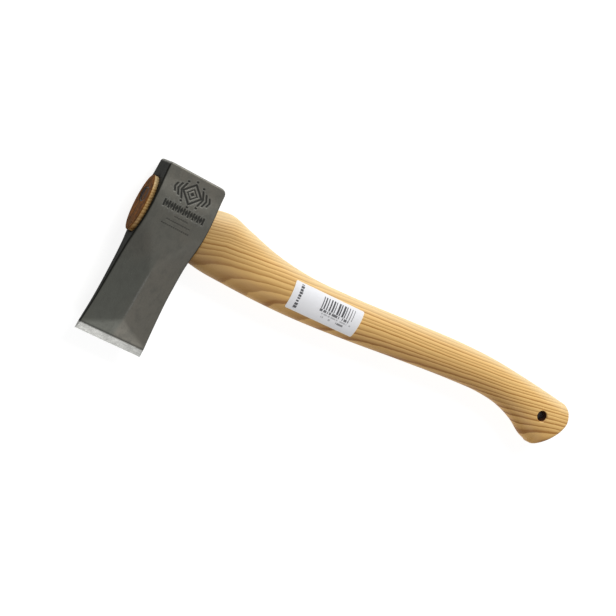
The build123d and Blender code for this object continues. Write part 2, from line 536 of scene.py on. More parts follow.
def cheek_height(x, y, bevel_width):
    """Half thickness of the head at each point, before its edges are rounded."""
    middle = cheek_measure(1, y)
    slope = (middle - cheek_measure(2, y)) / (CHEEK_SIDE_X - cheek_measure(3, y))
    ease = 0.45 + 1.9 * step(-56, -24, y)
    across = ease * np.logaddexp(0, (np.abs(x) - cheek_measure(3, y)) / ease)
    cheek = middle - slope * across
    above_edge = y - edge_y(x)
    hip_slope = (HIP_HALF_THICKNESS - BEVEL_HALF_THICKNESS) / HIP_LENGTH
    hip = BEVEL_HALF_THICKNESS + (above_edge - bevel_width) * hip_slope
    soft = 0.22
    height = -soft * np.logaddexp(-cheek / soft, -hip / soft)
    bevel = CUTTING_EDGE_HALF + above_edge * (BEVEL_HALF_THICKNESS - CUTTING_EDGE_HALF) / bevel_width
    return np.minimum(height, bevel)


def corner_cut(y, radius):
    """How far a rounded poll corner pulls the side in at each y."""
    into = np.clip(y - (POLL_Y - radius), 0, radius)
    return radius - np.sqrt(radius**2 - into**2)


def side_x(y, flare, corner):
    """Half width of the head's outline at each y."""
    rows = np.array(flare)[::-1]
    width = smooth_through(rows[:, 0], rows[:, 1], np.clip(y, rows[0, 0], rows[-1, 0]))[:, 0]
    return width - corner_cut(y, corner)


def bars(value, centres, half):
    """Distance from each value to the nearest of the bars, negative inside a bar."""
    return np.min([np.abs(value - centre) - half for centre in centres], axis=0)


def mark(x, y):
    """The stamped mark, a plain ornament: its depth from 0 to 1, and a pale rim beside its strokes, partly
    wear and partly a painted highlight.
    """
    u, v = x - MARK_PLACE[0], y - MARK_PLACE[1]
    lozenge = (np.abs(u) / 9.6 + np.abs(v) / 9.2 - 1) * 6.6
    marks = [np.abs(lozenge) - 0.85, np.abs(lozenge + 3.2) - 0.5, lozenge + 5.2]
    for start, half in CHEVRONS:
        arm = np.abs(np.abs(u) - start + np.abs(v) * 0.42) / 1.08 - 0.75
        marks.append(np.maximum(arm, np.abs(v) - half))
    for offset in (-8.0, 0.0, 8.0):
        marks.append(np.hypot(u - offset, np.abs(v) - 11.9 + np.abs(offset) * 0.35) - 1.05)
    band = np.abs(y - BAND_Y)
    centres = np.arange(-BAND_END, BAND_END + 0.6, BAND_STEP)
    marks.append(np.maximum(bars(x, centres, 0.75), band - 3.3))
    marks += [np.abs(x - centre - BAND_STEP / 2) / 1.6 + band / 3.1 - 1 for centre in centres[:-1]]
    near = np.min(marks, axis=0)
    deep = np.clip(0.5 - near / 0.45, 0, 1)
    faint = []
    for row, left, right in FAINT_ROWS:
        dashes = bars(x, np.arange(left, right, FAINT_STEP), 0.72)
        faint.append(np.maximum(dashes, np.abs(y - row) - 0.85))
    shallow = np.clip(0.5 - np.min(faint, axis=0) / 0.5, 0, 1)
    # pale rim beside the strokes: partly wear, partly a painted highlight
    burr = np.exp(-(((near - 0.75) / 0.4) ** 2))
    return np.maximum(deep, 0.6 * shallow), burr


def head_grid(props):
    """Stations along Y and shares across the width; both are close together where the mark is."""
    bevel = props.bevel_width / MM
    shoulder = 1 - np.cos(np.linspace(0, math.pi / 2, 7))
    rows = np.concatenate([
        np.linspace(EDGE_Y, EDGE_Y + bevel, 9)[:-1],
        np.linspace(EDGE_Y + bevel, EDGE_Y + bevel + 0.5, 3)[:-1],
        np.arange(EDGE_Y + bevel + 0.5, -44.0, 0.72),
        np.arange(-43.6, -9.0, 1.0),
        np.arange(-8.4, 41.2, 0.36),
        np.linspace(41.5, POLL_Y - props.poll_round / MM, 4)[:-1],
        POLL_Y - props.poll_round / MM * shoulder[::-1],
    ])
    columns = np.concatenate([
        np.linspace(-1, -0.83, 6)[:-1], np.arange(-0.83, 0.7901, 0.0122), np.linspace(0.8, 1, 6)
    ])
    return rows, columns


def head_rings(props):
    """Closed rings round the head, one for each row: over the upper cheek, down the far side and back."""
    rows, columns = head_grid(props)
    bevel = props.bevel_width / MM
    turn = np.linspace(0, math.pi / 2, 6)
    slant = (1 - step(-100, -50, rows))[:, None]
    left = side_x(rows, FLARE_TOP_SIDE, POLL_TOP_CORNER)[:, None]
    right = side_x(rows, FLARE_HANDLE_SIDE, POLL_HANDLE_CORNER)[:, None]
    thin = np.maximum(cheek_height(right[:, 0], rows, bevel), CUTTING_EDGE_HALF)[:, None]
    low = np.minimum(props.edge_round / MM, 0.42 * thin)
    inner = (columns[None] + 1) / 2 * (left + right - 2 * low) - left + low
    lip = low * np.sin(turn)[None]
    x = np.concatenate([-left + low - lip[:, ::-1], inner[:, 1:-1], right - low + lip], axis=1)
    y = rows[:, None] + (x + EDGE_HALF_WIDTH) * EDGE_SLOPE * slant
    beyond = np.maximum(np.maximum(x - (right - low), -x - (left - low)), 0)
    fall = low - np.sqrt(np.maximum(low**2 - beyond**2, 0))
    poll_r = props.poll_round / MM
    over = np.clip(rows - (POLL_Y - poll_r), 0, poll_r)
    poll_fall = (poll_r - np.sqrt(poll_r**2 - over**2))[:, None]
    rise = cheek_height(x, y, bevel) - fall - poll_fall
    upper = np.stack([x, y, rise], axis=-1)
    stamped = upper.copy()
    stamped[..., 2] -= props.mark_depth / MM * mark(x, y)[0]
    width = x.shape[1]
    keep = np.unique(np.concatenate([np.arange(7), np.arange(7, width - 7, 4), np.arange(width - 7, width)]))
    lower = upper[:, keep][:, ::-1] * np.array([1, 1, -1])
    share = np.linspace(0, 1, 16)[1:-1][None, :, None]
    right_wall = stamped[:, -1:] * (1 - share) + lower[:, :1] * share
    left_wall = lower[:, -1:] * (1 - share) + stamped[:, :1] * share
    return np.concatenate([stamped, right_wall, lower, left_wall], axis=1)


def eye_size(x, swell):
    """The eye at a given x, swelled a little all round: half length, half thickness and its middle's Y."""
    share = (HALF_WIDTH - x) / (HALF_WIDTH - TENON_END_X)
    long, short = (low + (high - low) * share + swell for low, high in zip(EYE_BOTTOM, EYE_TOP))
    return long, short, EYE_TOP_Y * share


def oval(x, swell=0.0, count=96):
    """The eye's oval at a given x."""
    long, short, middle = eye_size(x, swell)
    angles = np.linspace(0, 2 * math.pi, count, endpoint=False)
    y = middle + long * np.cos(angles)
    return np.stack([np.full(count, float(x)), y, short * np.sin(angles)], axis=-1)


def eye_cutter():
    """The eye with a small gap round the tenon and a worn lip at the top of the head."""
    sizes = [
        (HALF_WIDTH + 5, 0.3),
        (-HALF_WIDTH + 2.2, 0.3),
        (-HALF_WIDTH + 1.2, 0.45),
        (-HALF_WIDTH + 0.5, 0.8),
        (-HALF_WIDTH + 0.1, 1.35),
        (-HALF_WIDTH - 0.4, 2.2),
        (-HALF_WIDTH - 4, 6.0),
    ]
    return tube("eye_cutter", np.array([oval(x, swell) for x, swell in sizes]))


def steel_finish(props):
    """Dark forge scale with patches and fine pits, a stamped mark and a bare ground bevel."""
    finish = Finish("forged_steel", Specular_IOR_Level=0.5)
    place = finish.place()
    x, y, unused = finish.axes(place)
    broad = finish.noise(place, (34, 46, 30), 3, 0.55, 0.4)
    blotch = finish.noise(place, (7, 11, 7), 4, 0.6, 0.2)
    speck = finish.noise(place, (1.1, 1.4, 1.1), 3, 0.65)
    pits = finish.cells(place, (2.3, 2.9, 2.3))
    drawn = finish.noise(place, (0.8, 22, 0.8), 2, 0.6)
    names = ("mark", "ground", "worn", "hip", "side")
    stamp, bare, worn, hip, side = (finish.painted(name) for name in names)
    # painted light and shade: the left facet is made darker and greener, the right one lighter and browner
    facet_light_share = 1 - y.rise(-54, -24)
    right = x.rise(-2, 3)
    scale = finish.mix(broad.rise(0.36, 0.66), rgba(props.scale), rgba(props.scale_brown))
    scale = finish.mix(facet_light_share * (1 - right) * 0.7, scale, rgba(props.left_facet_shade))
    scale = finish.mix(facet_light_share * right * 0.7, scale, rgba(props.scale_brown, 1.1))
    scale = finish.mix(blotch.rise(0.4, 0.75) * 0.55, scale, rgba(props.scale_dark))
    tone = 0.84 + speck * 0.22 + drawn * 0.12
    # painted light: the hip facet is made lighter for the light it catches
    scale = finish.mix(1.0, scale, tone + hip * 0.22, "MULTIPLY")
    # painted highlight mixed with wear: the ridge line and the rims beside the stamped strokes are turned
    # towards bare steel
    bright = (worn * 0.8).most(finish.painted("burr") * 0.5) * speck.rise(0.3, 0.65)
    scale = finish.mix(bright, scale, rgba(props.ground, 0.6))
    # painted shade: the narrow sides are coloured near black
    scale = finish.mix(side * 0.94, scale, rgba(props.painted_shade))
    # painted shadow: a thin dark line just above the bevel
    scale = finish.mix(finish.painted("heel") * 0.7, scale, rgba(props.painted_shade))
    # painted shadow round the eye, in the gap beside the tenon
    scale = finish.mix(finish.painted("soot"), scale, rgba(props.soot))
    # painted shade: the stamped strokes are coloured near black for the shade in their recesses
    scale = finish.mix(stamp * 0.92, scale, rgba(props.scale_dark, 0.12))
    across = finish.noise(place, (0.5, 9, 9), 3, 0.7)
    smear = finish.noise(place, (9, 2.4, 9), 3, 0.6)
    # honing marks, and painted shade: the bevel gets darker towards +X
    honing_and_shade = (0.2 + across * 0.8 + smear * 0.8) * (1.04 - x.rise(-25, 40) * 0.26)
    shine = finish.mix(1.0, rgba(props.ground), honing_and_shade, "MULTIPLY")
    finish.wear("Base Color", finish.mix(bare, scale, shine))
    finish.wear("Metallic", 0.5 + bare * 0.35 + side * 0.5)
    dull = 0.36 + blotch * 0.12 + speck * 0.1 + stamp * 0.15
    finish.wear("Roughness", dull - bare * 0.08 + side * 0.2)
    pitted = (1 - pits.rise(0.0, 0.34)) * (1 - bare)
    relief = finish.bump(blotch * 0.6 + speck * 0.25 + drawn * 0.2, 0.16)
    relief = finish.bump(1 - pitted, 0.05, relief)
    relief = finish.bump(across * bare, 0.03, relief)
    finish.wear("Normal", relief)
    return finish.material


class HATCHET_OT_axe_head(bpy.types.Operator):
    """Builds the forged head with its eye, hips, ground bevel and stamped mark"""

    bl_idname = "hatchet.axe_head"
    bl_label = "Axe head"

    def execute(self, context):
        props = context.scene.hatchet_head
        rings = head_rings(props)
        flat_poll = rings[-1] * 0.97
        flat_poll[:, 1] = POLL_Y
        piece = tube("hatchet_head", np.concatenate([rings, flat_poll[None]]))
        cut(piece, eye_cutter())
        own = own_points(piece.data)
        x, y, z = own[:, 0], own[:, 1], own[:, 2]
        bevel = props.bevel_width / MM
        # a pale line along the ridge, partly wear and partly a painted highlight
        ridge_wear_and_glint = np.exp(-((x / 0.8) ** 2)) * (1 - step(-56, -48, y)) * step(-100, -80, y) * (z > 0)
        above_edge = y - edge_y(x)
        # share of the hip facet, which the material paints lighter
        hip = 1 - step(-1.5, 1.5, above_edge - bevel - HIP_LENGTH + np.abs(x) * 0.42)
        # painted shadow: a thin band just above the bevel, coloured dark by the material
        heel = np.exp(-(((above_edge - bevel - 0.7) / 0.7) ** 2))
        # painted shadow: points close round the eye on the upper side, coloured dark by the material
        eye = np.hypot((y - EYE_TOP_Y) / EYE_TOP[0], z / EYE_TOP[1]) - 1
        eye_gap_shadow_mask = (1 - step(0.04, 0.2, eye)) * (x < 5 - HALF_WIDTH)
        turned = np.abs([vertex.normal.x for vertex in piece.data.vertices])
        # share of each point on the narrow sides, where the material paints shade
        side = step(0.3, 0.75, turned) * (1 - step(POLL_Y - 3, POLL_Y - 1, y))
        depth, burr = mark(x, y)
        ground = 1 - step(bevel - 0.15, bevel + 0.1, above_edge)
        on_top = z > 0
        paint(
            piece.data, mark=depth * on_top, burr=burr * on_top, ground=ground, worn=np.clip(ridge_wear_and_glint, 0, 1),
            hip=hip, heel=heel, soot=eye_gap_shadow_mask, side=side
        )
        finished(piece, steel_finish(props), "axe_head", 40)
        return {"FINISHED"}


# Handle


def handle_measures(stations):
    """Upper point, lower point and half thickness of the handle at fractional rows of its table."""
    middles = (HANDLE[:, :2] + HANDLE[:, 2:4]) / 2
    chords = np.concatenate([[0], np.cumsum(np.hypot(*np.diff(middles, axis=0).T))])
    along = np.interp(stations, np.arange(len(HANDLE)), chords)
    return smooth_through(chords, HANDLE, along)


def handle_edges(x):
    """Upper and lower edge of the handle's outline at each x."""
    upper = smooth_through(HANDLE[:, 0], HANDLE[:, 1], np.clip(x, HANDLE[0, 0], HANDLE[-1, 0]))[:, 0]
    lower = smooth_through(HANDLE[:, 2], HANDLE[:, 3], np.clip(x, HANDLE[0, 2], HANDLE[-1, 2]))[:, 0]
    return upper, lower


def shaft_rings(stations, count):
    """Oval rings round the handle."""
    angles = np.linspace(0, 2 * math.pi, count, endpoint=False)
    rows = handle_measures(stations)
    share = ((1 + np.cos(angles)) / 2)[None, :, None]
    line = rows[:, None, 2:4] * (1 - share) + rows[:, None, :2] * share
    rise = rows[:, 4:5] * np.sin(angles)[None]
    return np.concatenate([line, rise[..., None]], axis=-1)


def knob_rings(count):
    """Rings from the last straight section out to the knob's slanted, rounded end, which they close."""
    start = shaft_rings(np.array([KNOB_START]), count)[0]
    angles = np.linspace(0, 2 * math.pi, count, endpoint=False)
    share = (1 - np.cos(angles)) / 2
    steps = np.concatenate([[0], np.cumsum(np.hypot(*np.diff(KNOB_END, axis=0).T))])
    end = smooth_through(steps, KNOB_END, share * steps[-1])
    flow = end - start[:, :2]
    reach = np.hypot(*flow.T)
    outward = flow / np.maximum(reach, 1e-6)[:, None]
    full = np.abs(start[:, 2])
    side = np.sign(np.sin(angles))
    soft = np.minimum(np.minimum(KNOB_ROUND, 0.5 * reach), 0.62 * full)
    rings = []
    for part in np.linspace(0.1, 1, 8):
        spot = start[:, :2] + outward * (reach - soft)[:, None] * part
        rings.append(np.column_stack([spot, side * full]))
    for turn in np.linspace(0, math.pi / 2, 7)[1:]:
        spot = end - outward * (soft * (1 - math.sin(turn)))[:, None]
        rings.append(np.column_stack([spot, side * (full - soft * (1 - math.cos(turn)))]))
    flat = full - soft
    for part in np.linspace(1, 0, 7)[1:]:
        bulge = 0.1 * (1 - part**2) * np.minimum(1, flat / 6)
        rings.append(np.column_stack([end + outward * bulge[:, None], side * flat * part]))
    return np.array(rings)


def tenon_rings(count):
    """Rings from the middle of the tenon's end out over its edge and along to the shoulder."""
    edge = 0.9
    rings = []
    outline = oval(TENON_END_X, -edge, count)
    middle = np.array([TENON_END_X, EYE_TOP_Y, 0.0])
    for part in np.linspace(0, 1, 12):
        rings.append(middle + (outline - middle) * part)
    for turn in np.linspace(0, math.pi / 2, 6)[1:]:
        rings.append(oval(TENON_END_X + edge * (1 - math.cos(turn)), -edge * (1 - math.sin(turn)), count))
    for x in (-32, -30.5, -28, -15, 0, 15, HALF_WIDTH + 0.1):
        rings.append(oval(x, 0, count))
    return np.array(rings)


def handle_rings(props, count=96):
    edge = props.shoulder_round / MM
    first = shaft_rings(np.array([0.0]), count)[0]
    middle = np.array([HALF_WIDTH, -0.7, 0])
    shoulder = []
    for turn in np.linspace(0, math.pi / 2, 6):
        inset = edge * (1 - math.sin(turn))
        ring = middle + (first - middle) * (1 - inset / 20)
        ring[:, 0] = HALF_WIDTH + 0.1 + edge * (1 - math.cos(turn))
        shoulder.append(ring)
    neck, grip, swell = np.linspace(0.12, 3, 40), np.linspace(3, 7, 90), np.linspace(7, KNOB_START, 70)
    shaft = shaft_rings(np.concatenate([neck, grip[1:], swell[1:]]), count)
    return np.concatenate([tenon_rings(count), shoulder, shaft, knob_rings(count)])


def hole_cutter():
    """The hang hole with softened rims."""
    surface = 13.5
    rim = ((0, -surface), (0, -1.6), (0.1, -1.0), (0.35, -0.45), (0.8, 0), (2.6, 1.4))
    upper = [(HANG_HOLE_R + wider, surface + higher) for wider, higher in rim]
    profile = [(radius, -along) for radius, along in upper[::-1]][:-1] + upper
    return lathe("hole_cutter", profile, (*HANG_HOLE_PLACE.xy, 0), 2, 72)


def kerf_cutter(gap=0.06):
    """The eye wedge's own slot, open at the tenon's end."""
    slope = (WEDGE_END_HALF - WEDGE_TIP_HALF) / (WEDGE_TIP_X - TENON_END_X)
    past = TENON_END_X - 3
    wide = WEDGE_END_HALF + 3 * slope + gap
    narrow = WEDGE_TIP_HALF + gap
    corners = [(past, wide), (WEDGE_TIP_X, narrow), (WEDGE_TIP_X, -narrow), (past, -wide)]
    rings = np.array([[(x, y, z) for x, z in corners] for y in (-40.0, 40.0)])
    return tube("kerf_cutter", rings)


def groove_cutter(core_sink=0.9, gap=0.08):
    """The ring wedge's groove, with the wood inside the ring pressed a little below the rest."""
    inner = RING_OUTER_R - RING_WALL - gap
    outer = RING_OUTER_R + gap
    end = TENON_END_X
    profile = [
        (outer + 0.25, end - 2.0),
        (outer + 0.25, end),
        (outer, end + 0.35),
        (outer, end + RING_DEPTH),
        (inner, end + RING_DEPTH),
        (inner, end + core_sink + 0.3),
        (inner - 0.4, end + core_sink),
        (0.4, end + core_sink + 0.25),
    ]
    return lathe("groove_cutter", profile, (0, RING_Y, 0), 0, 72)


def wood_finish(props):
    """Ash: porous growth rings cut through in space, fine fibres, and oiled end grain on the tenon."""
    finish = Finish("ash", Specular_IOR_Level=0.25)
    place = finish.place()
    x, y, z = finish.axes(place)
    wander = finish.noise(place, (190, 60, 60), 1, 0.5)
    ripple = finish.noise(place, (20, 8, 8), 2, 0.5)
    # The tree's middle lies below the lower edge, and its rings taper towards the knob
    bend = (52 - x).most(0.0) * 0.14
    up = y + bend + 25
    deep = 40 + z * 0.05
    radius = finish.vector("LENGTH", finish.joined(0.0, up, deep), output=1)
    taper = x * 0.062 + (x - 385).most(0.0) * 0.035
    spacing = props.ring_spacing / MM
    even = (radius - taper + wander * 3.0 + ripple * 0.6) / spacing
    # Wet and dry years: the rings are not all as wide
    season = finish.noise(finish.joined(even, 0.0, 0.0), (2.4, 1, 1), 1, 0.5)
    count = even + season * 1.5
    inside = count.part()
    ring = finish.chance(count.whole())
    pale = inside.rise(0.35, 0.95)
    line = inside.rise(0.0, 0.06) * (1 - inside.rise(0.12, 0.42))
    line = line * (0.3 + ring * 0.7) * (0.6 + x.rise(70, 230) * 0.4)
    belly = finish.painted("belly")
    line = line * (0.45 + belly.rise(-1.0, -0.45) * 0.55)
    fibre = finish.noise(place, (26, 0.55, 0.55), 2, 0.6)
    streak = finish.noise(place, (70, 3.2, 3.2), 2, 0.5)
    broad = finish.noise(place, (60, 22, 22), 2, 0.5)
    pore = finish.noise(place, (5.5, 0.24, 0.24), 2, 0.7)
    pores = pore.rise(0.56, 0.68) * (0.15 + line * 0.85)
    share = line + (1 - pale) * 0.44 + pores * 0.3
    wood = finish.mix(share, rgba(props.latewood), rgba(props.earlywood))
    # painted sheen along the upper edge
    wood = finish.mix((1 - belly.rise(-1.0, -0.55)) * 0.65, wood, rgba(props.upper_edge_sheen))
    # painted shade: darker towards the lower side
    wood = finish.mix(belly.rise(-0.3, 1.0), wood, rgba(props.belly_shade), "MULTIPLY")
    # painted shade: darker near the head, on all but the upper edge
    neck_shade_share = (1 - x.rise(15, 105)) * belly.rise(-0.9, -0.4)
    wood = finish.mix(neck_shade_share, wood, rgba(props.neck_shade), "MULTIPLY")
    tone = 0.84 + fibre * 0.14 + streak * 0.12 + broad * 0.1 + ring * 0.06
    wood = finish.mix(1.0, wood, tone, "MULTIPLY")
    # End grain: dark oiled face, with the rings seen end on
    inside_ring = 1 - finish.vector("LENGTH", finish.joined(0.0, y - RING_Y, z), output=1).rise(5.9, 6.3)
    end = (1 - x.rise(TENON_END_X + 0.35, TENON_END_X + 1.0)).most(inside_ring * (1 - x.rise(-31, -29)))
    grain = finish.noise(place, (4, 0.9, 0.9), 3, 0.7)
    stain = finish.noise(place, (9, 7, 5), 3, 0.6)
    end_tone = (0.1 + grain * 0.9 + stain.rise(0.3, 0.7) * 0.75 - line * 0.3) * (1 - inside_ring * 0.5)
    end_wood = finish.mix(1.0, rgba(props.end_grain), end_tone, "MULTIPLY")
    end_wood = finish.mix(inside_ring * 0.8, end_wood, rgba(props.ring_core))
    wood = finish.mix(end, wood, end_wood)
    # painted shade inside the hang hole
    finish.wear("Base Color", finish.mix(finish.painted("bore"), wood, rgba(props.bore)))
    finish.wear("Roughness", 0.4 + fibre * 0.12 + pores * 0.25 + end * 0.4)
    relief = finish.bump(fibre * 0.35 - pores * 0.6 - line * 0.4, 0.07)
    relief = finish.bump(grain * end, 0.25, relief)
    finish.wear("Normal", relief)
    return finish.material


class HATCHET_OT_handle(bpy.types.Operator):
    """Builds the ash handle with its tenon, shoulder, knob and hang hole"""

    bl_idname = "hatchet.handle"
    bl_label = "Handle"

    def execute(self, context):
        props = context.scene.hatchet_handle
        piece = tube("ash_handle", handle_rings(props), capped=False)
        cut(piece, hole_cutter())
        cut(piece, kerf_cutter())
        cut(piece, groove_cutter())
        own = own_points(piece.data)
        x, y = own[:, 0], own[:, 1]
        top, bottom = handle_edges(x)
        belly = np.clip(1 - 2 * (y - bottom) / (top - bottom), -1, 1)
        from_hole = np.hypot(x - HANG_HOLE_PLACE.x, y - HANG_HOLE_PLACE.y)
        # points on the hang hole's walls, which the material paints dark
        paint(piece.data, belly=belly, bore=from_hole < HANG_HOLE_R + 0.2)
        finished(piece, wood_finish(props), "handle")
        return {"FINISHED"}


# Wedges


def wedge_ring(x, inset=0.0, count=32):
    """Outline of the eye wedge at a given x: flat sides, and ends that follow the oval."""
    along = (x - TENON_END_X) / (WEDGE_TIP_X - TENON_END_X)
    half = WEDGE_END_HALF + (WEDGE_TIP_HALF - WEDGE_END_HALF) * along - inset
    long, short, middle = eye_size(x, -inset)
    z = np.linspace(-half, half, 7)
    end = long * np.sqrt(1 - (z / short) ** 2)
    y = np.linspace(-1, 1, count)[1:-1] * end[0]
    far = np.column_stack([end, z])
    top = np.column_stack([y[::-1], np.full(count - 2, half)])
    near = np.column_stack([-end[::-1], z[::-1]])
    bottom = np.column_stack([y, np.full(count - 2, -half)])
    outline = np.concatenate([far, top, near, bottom]) + np.array([middle, 0])
    return np.column_stack([np.full(len(outline), float(x)), outline])


def wedge_finish(props):
    finish = Finish("wedge_wood", Specular_IOR_Level=0.25)
    place = finish.place()
    grain = finish.noise(place, (3, 1.6, 0.5), 3, 0.65)
    stain = finish.noise(place, (9, 8, 5), 3, 0.6)
    wood = finish.mix(1.0, rgba(props.wood), 0.55 + grain * 0.5 + stain * 0.5, "MULTIPLY")
    finish.wear("Base Color", wood)
    finish.wear("Roughness", 0.8 + grain * 0.15)
    finish.wear("Normal", finish.bump(grain, 0.2))
    return finish.material


def ring_finish(props):
    finish = Finish("wedge_steel", Specular_IOR_Level=0.5)
    place = finish.place()
    stain = finish.noise(place, (3, 3, 3), 3, 0.6)
    scratch = finish.noise(place, (0.4, 1.6, 0.4), 3, 0.7)
    steel = finish.mix(stain.rise(0.35, 0.7), rgba(props.steel), rgba(props.steel, 0.4))
    finish.wear("Base Color", steel)
    finish.wear("Metallic", 0.7)
    finish.wear("Roughness", 0.36 + stain * 0.25)
    finish.wear("Normal", finish.bump(scratch, 0.05))
    return finish.material


class HATCHET_OT_eye_wedge(bpy.types.Operator):
    """Builds the wooden wedge that spreads the tenon in the eye"""

    bl_idname = "hatchet.eye_wedge"
    bl_label = "Eye wedge"

    def execute(self, context):
        props = context.scene.hatchet_wedges
        stations = [(TENON_END_X + into, inset) for into, inset in ((0.02, 0.35), (0.12, 0.12), (0.35, 0))]
        stations += [(x, 0) for x in (-32, -28, -18, -6, 4, WEDGE_TIP_X - 0.1)]
        piece = tube("eye_wedge_wood", np.array([wedge_ring(*station) for station in stations]))
        cut(piece, groove_cutter())
        finished(piece, wedge_finish(props), "eye_wedge")
        return {"FINISHED"}


class HATCHET_OT_ring_wedge(bpy.types.Operator):
    """Builds the steel ring driven into the tenon's end"""

    bl_idname = "hatchet.ring_wedge"
    bl_label = "Ring wedge"

    def execute(self, context):
        props = context.scene.hatchet_wedges
        inner = RING_OUTER_R - RING_WALL
        top = TENON_END_X + RING_SINK
        rim = TENON_END_X + RING_DEPTH
        profile = [
            (RING_OUTER_R, rim - 0.1),
            (RING_OUTER_R, top + 0.5),
            (RING_OUTER_R - 0.12, top + 0.15),
            (RING_OUTER_R - 0.4, top),
            (inner + 0.4, top),
            (inner + 0.12, top + 0.15),
            (inner, top + 0.5),
            (inner, rim - 2.6),
            (RING_OUTER_R - 0.2, rim - 0.1),
        ]
        piece = lathe("ring_wedge_steel", [*profile, profile[0]], (0, RING_Y, 0), 0, capped=False)
        finished(piece, ring_finish(props), "ring_wedge")
        return {"FINISHED"}


# Label


def handle_surface():
    """The handle's outside as a tree that answers where a line meets it, in millimetres."""
    points, faces = skin(shaft_rings(np.linspace(2, 8, 240), 160))
    return BVHTree.FromPolygons(points.tolist(), faces)


def label_spot(u, v):
    """Point of the flat sheet seen from above: u runs along it and v down it, both from 0 to 1."""
    upper_left, lower_left, lower_right, upper_right = (np.array(corner) for corner in LABEL)
    left = upper_left * (1 - v) + lower_left * v
    right = upper_right * (1 - v) + lower_right * v
    return left * (1 - u) + right * u


def label_shares(v):
    """Where the sheet starts and ends along its length at a share of its width, for its rounded corners."""
    from_edge = min(v, 1 - v) * LABEL_WIDTH
    into = max(LABEL_CORNER_R - from_edge, 0)
    inset = (LABEL_CORNER_R - math.sqrt(LABEL_CORNER_R**2 - into**2)) / LABEL_LENGTH
    return inset, 1 - inset


def label_sheet(props):
    """Upper points, lower points and print places of the sheet as it lies on the handle."""
    surface = handle_surface()
    round_rows = LABEL_CORNER_R * (1 - np.cos(np.linspace(0, math.pi / 2, 6))) / LABEL_WIDTH
    straight_rows = np.linspace(round_rows[-1], 1 - round_rows[-1], 30)[1:-1]
    rows = np.concatenate([round_rows, straight_rows, 1 - round_rows[::-1]])
    upper, lower, prints = [], [], []
    for v in rows:
        start, end = label_shares(v)
        for u in np.linspace(start, end, 84):
            x, y = label_spot(u, v)
            spot, normal = surface.ray_cast(Vector((x, y, 60)), Vector((0, 0, -1)))[:2]
            if spot is None:
                raise RuntimeError("the label reaches past the handle")
            near_edge = min(u, 1 - u) * LABEL_LENGTH, min(v, 1 - v) * LABEL_WIDTH
            lift = 0.09 * math.exp(-min(near_edge) / 1.2)
            normal = normal if normal.z > 0 else -normal
            upper.append(spot + normal * (props.thickness / MM + lift))
            lower.append(spot + normal * 0.02)
            prints.append((u * LABEL_LENGTH, v * LABEL_WIDTH, 0))
    return len(rows), np.array(upper), np.array(lower), np.array(prints)


def paper_finish(props):
    """White paper with a generic print: a broken strip, a group of bars and short dashes under it."""
    finish = Finish("label_paper", Specular_IOR_Level=0.35)
    u, v, unused = finish.axes(finish.painted("print_place", "Vector"))
    place = finish.place()
    fibre = finish.noise(place, (0.6, 0.6, 0.6), 3, 0.6)
    cloud = finish.noise(place, (9, 9, 9), 2, 0.5)
    fray = (fibre - 0.5) * 0.5
    ragged = v + fray
    module = u / 2.9
    stroke = module.part() - 0.15
    extra = finish.chance(module.whole() + 3.7) * 0.5
    bar_group = stroke.rise(-0.04, 0.04) * (1 - (stroke - extra).rise(0.2, 0.28))
    ink = bar_group * (u + fray).band(33.0, 67.6, 0.2) * ragged.band(2.8, 13.1, 0.25)
    for dash, seed, left_out, across, along, strength in PRINT_ROWS:
        dashes = finish.chance((u / dash).whole() + seed).rise(*left_out)
        ink = ink.most(dashes * ragged.band(*across, 0.25) * u.band(*along, 0.2) * strength)
    block = v / 2.6
    ends = finish.chance(block.whole() + 6.4) * 0.3
    strip = block.part().rise(0.02, 0.1) * (1 - (block.part() - ends).rise(0.6, 0.7)) * v.band(1.6, 23.6, 0.3)
    strip = strip * (u + fray * 2).band(6.9, 9.4 + finish.chance(block.whole() + 2.2), 0.25)
    ink = ink.most(strip)
    edge = (1 - u.band(1.3, LABEL_LENGTH - 1.3, 1.2)).most(1 - v.band(1.1, LABEL_WIDTH - 1.1, 1.0))
    paper = finish.mix(edge * 0.8, rgba(props.paper), rgba(props.paper_edge))
    paper = finish.mix(1.0, paper, 0.95 + fibre * 0.04 + cloud * 0.06, "MULTIPLY")
    finish.wear("Base Color", finish.mix(ink * (0.86 + fibre * 0.14), paper, rgba(props.ink)))
    finish.wear("Roughness", 0.42 + fibre * 0.1)
    finish.wear("Normal", finish.bump(fibre, 0.015))
    return finish.material


class HATCHET_OT_label(bpy.types.Operator):
    """Builds the paper label stuck round the handle's upper side"""

    bl_idname = "hatchet.label"
    bl_label = "Label"

    def execute(self, context):
        props = context.scene.hatchet_label
        rows, upper, lower, prints = label_sheet(props)
        index = np.arange(len(upper)).reshape(rows, -1)
        a, b, c, d = index[:-1, :-1], index[:-1, 1:], index[1:, 1:], index[1:, :-1]
        top = np.stack([a, b, c, d], axis=-1).reshape(-1, 4)
        bottom = top[:, ::-1] + len(upper)
        rim = np.concatenate([index[0], index[1:, -1], index[-1, :-1][::-1], index[1:-1, 0][::-1]])
        beyond = np.roll(rim, -1)
        sides = np.stack([rim, beyond, beyond + len(upper), rim + len(upper)], axis=-1)
        faces = np.concatenate([top, bottom, sides]).tolist()
        piece = solid("paper_label", np.concatenate([upper, lower]), faces)
        layer = piece.data.attributes.new("print_place", "FLOAT_VECTOR", "POINT")
        layer.data.foreach_set("vector", np.concatenate([prints, prints]).astype(np.float32).ravel())
        finished(piece, paper_finish(props), "label")
        return {"FINISHED"}


# Stage


